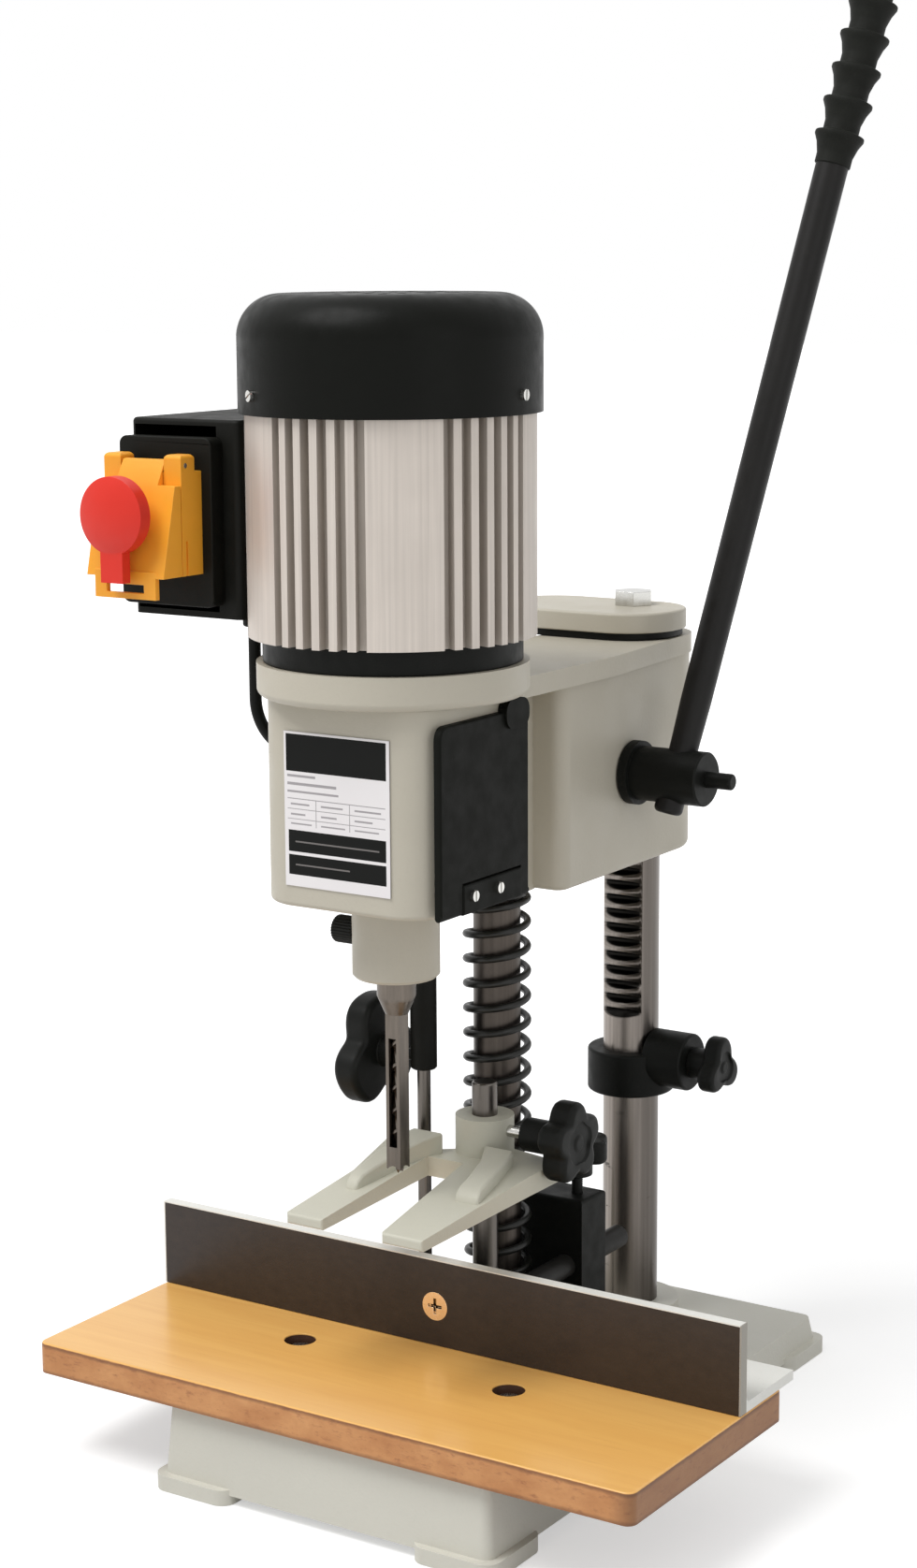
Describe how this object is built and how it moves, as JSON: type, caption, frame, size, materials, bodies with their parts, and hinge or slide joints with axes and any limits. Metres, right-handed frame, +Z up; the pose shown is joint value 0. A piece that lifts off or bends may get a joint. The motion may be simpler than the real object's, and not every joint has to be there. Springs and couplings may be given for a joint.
{
  "type": "benchtop hollow chisel mortiser",
  "caption": "Benchtop hollow-chisel mortiser: upright motor on a head that a long lever racks down a round column over a wooden table with fence and hold-down fork.",
  "frame": {"origin": "centre of the four bench bolt holes, on the underside of the base", "axes": "+Z up along the column, -Y towards the operator, +X to the operator's right, where the lever is"},
  "size_m": [0.3424, 0.3754, 0.7562],
  "materials": {
    "base_paint": "satin",
    "head_paint": "satin",
    "black_paint": "satin",
    "dark_steel": "satin",
    "bright_steel": "brushed",
    "column_steel": "brushed",
    "plated_steel": "polished",
    "spring_steel": "blackened",
    "tool_steel": "ground",
    "fork_steel": "satin",
    "motor_aluminium": "cast",
    "brass": "bright",
    "black_plastic": "moulded",
    "black_gloss": "moulded",
    "yellow_plastic": "moulded",
    "red_plastic": "moulded",
    "green_plastic": "moulded",
    "grip_rubber": "ribbed",
    "cable_rubber": "plain",
    "table_wood": "clear coat",
    "fence_wood": "film faced",
    "label": "printed",
    "core_steel": "stacked"
  },
  "bodies": {
    "base": {"base_casting": "base_paint", "column": "column_steel", "cap_plate": "head_paint", "cap_bolt": "plated_steel", "stop_buffer": "cable_rubber", "table_board": "table_wood", "table_screws": "bright_steel", "spring_post": "column_steel", "spring_seat": "dark_steel", "head_spring": "spring_steel", "hold_down_rod": "plated_steel", "head_lock_rod": "bright_steel", "fence_guide_block": "black_paint", "fence_block_bolts": "plated_steel"},
    "fence": {"fence": "fence_wood", "fence_screw": "brass", "fence_carrier": "black_paint", "fence_guide_rod": "bright_steel"},
    "fence_knob": {"fence_lock_knob": "black_plastic"},
    "fork": {"hold_down_fork": "fork_steel"},
    "fork_knob": {"fork_lock_knob": "black_plastic", "fork_lock_screw": "plated_steel"},
    "collar": {"depth_collar": "black_paint"},
    "collar_clamp": {"collar_knob": "black_plastic"},
    "head": {"head_casting": "head_paint", "name_plate": "label", "door_hinge_strip": "black_plastic", "door_hinge_pin": "bright_steel", "small_screws": "bright_steel", "motor_flange": "black_paint", "motor_housing": "motor_aluminium", "fan_cap": "black_gloss", "stator": "core_steel", "motor_bearings": "tool_steel", "switch_box": "black_plastic", "switch_bezel": "black_plastic", "switch_housing": "yellow_plastic", "flap_pin": "bright_steel", "switch_lead": "cable_rubber", "lead_gland": "black_plastic", "hollow_chisel": "tool_steel", "lock_sleeve": "black_plastic"},
    "lever": {"pinion_gear": "tool_steel", "pinion_shaft": "tool_steel", "shaft_clip": "spring_steel", "lever_hub": "black_paint", "lever_rod": "black_paint", "lever_grip": "grip_rubber", "hub_pin": "plated_steel"},
    "spindle": {"rotor_shaft": "core_steel", "cooling_fan": "black_plastic", "drill_chuck": "tool_steel", "auger_bit": "tool_steel"},
    "door": {"access_door": "black_plastic"},
    "flap": {"stop_flap": "yellow_plastic"},
    "mushroom": {"stop_mushroom": "red_plastic"},
    "stop": {"stop_button": "red_plastic"},
    "start": {"start_button": "green_plastic"},
    "chisel_screw": {"chisel_lock_screw": "black_plastic"},
    "lock_knob": {"head_lock_knob": "black_plastic"}
  },
  "joints": [
    {"name": "head_slide", "type": "slide", "parent": "base", "child": "head", "axis": [0, 0, 1], "range_m": [-0.094, 0], "stiffness_N_per_m": 1500, "springref_m": 0.17, "deforming": ["head_spring"]},
    {"name": "lever_turn", "type": "hinge", "parent": "head", "child": "lever", "pos_m": [0, 0.071, 0.332], "axis": [1, 0, 0], "range_deg": [0, 126.8]},
    {"name": "spindle_spin", "type": "hinge", "parent": "head", "child": "spindle", "pos_m": [0, -0.0995, 0.4], "axis": [0, 0, 1], "continuous": true},
    {"name": "fence_slide", "type": "slide", "parent": "base", "child": "fence", "axis": [0, 1, 0], "range_m": [-0.026, 0]},
    {"name": "fence_knob_turn", "type": "hinge", "parent": "base", "child": "fence_knob", "pos_m": [0.0215, 0.033, 0.13], "axis": [0, 0, 1], "range_deg": [0, 360]},
    {"name": "fork_slide", "type": "slide", "parent": "base", "child": "fork", "axis": [0, 0, 1], "range_m": [-0.034, 0.008]},
    {"name": "fork_knob_turn", "type": "hinge", "parent": "fork", "child": "fork_knob", "pos_m": [0.05, -0.0313, 0.165], "axis": [1, 0, 0], "range_deg": [0, 360]},
    {"name": "collar_slide", "type": "slide", "parent": "base", "child": "collar", "axis": [0, 0, 1], "range_m": [-0.03, 0.08]},
    {"name": "collar_knob_turn", "type": "hinge", "parent": "collar", "child": "collar_clamp", "pos_m": [0.05, 0.126, 0.165], "axis": [1, 0, 0], "range_deg": [0, 360]},
    {"name": "chisel_screw_turn", "type": "hinge", "parent": "head", "child": "chisel_screw", "pos_m": [-0.028, -0.0995, 0.2756], "axis": [-1, 0, 0], "range_deg": [0, 360]},
    {"name": "lock_knob_turn", "type": "hinge", "parent": "head", "child": "lock_knob", "pos_m": [-0.058, -0.0335, 0.1965], "axis": [-1, 0, 0], "range_deg": [0, 360]},
    {"name": "door_swing", "type": "hinge", "parent": "head", "child": "door", "pos_m": [0.0511, -0.1, 0.2981], "axis": [0, 1, 0], "range_deg": [0, 100]},
    {"name": "flap_swing", "type": "hinge", "parent": "head", "child": "flap", "pos_m": [-0.0985, -0.1565, 0.5], "axis": [-1, 0, 0], "range_deg": [0, 80]},
    {"name": "mushroom_press", "type": "slide", "parent": "flap", "child": "mushroom", "axis": [0, 1, 0], "range_m": [0, 0.003], "stiffness_N_per_m": 600, "springref_m": -0.002},
    {"name": "stop_press", "type": "slide", "parent": "head", "child": "stop", "axis": [0, 1, 0], "range_m": [0, 0.002], "stiffness_N_per_m": 400, "springref_m": -0.002},
    {"name": "start_press", "type": "slide", "parent": "head", "child": "start", "axis": [0, 1, 0], "range_m": [0, 0.002], "stiffness_N_per_m": 400, "springref_m": -0.002}
  ],
  "couplings": [
    {"joint": "lever_turn", "follows": "head_slide", "rad_per_m": -23.529}
  ]
}
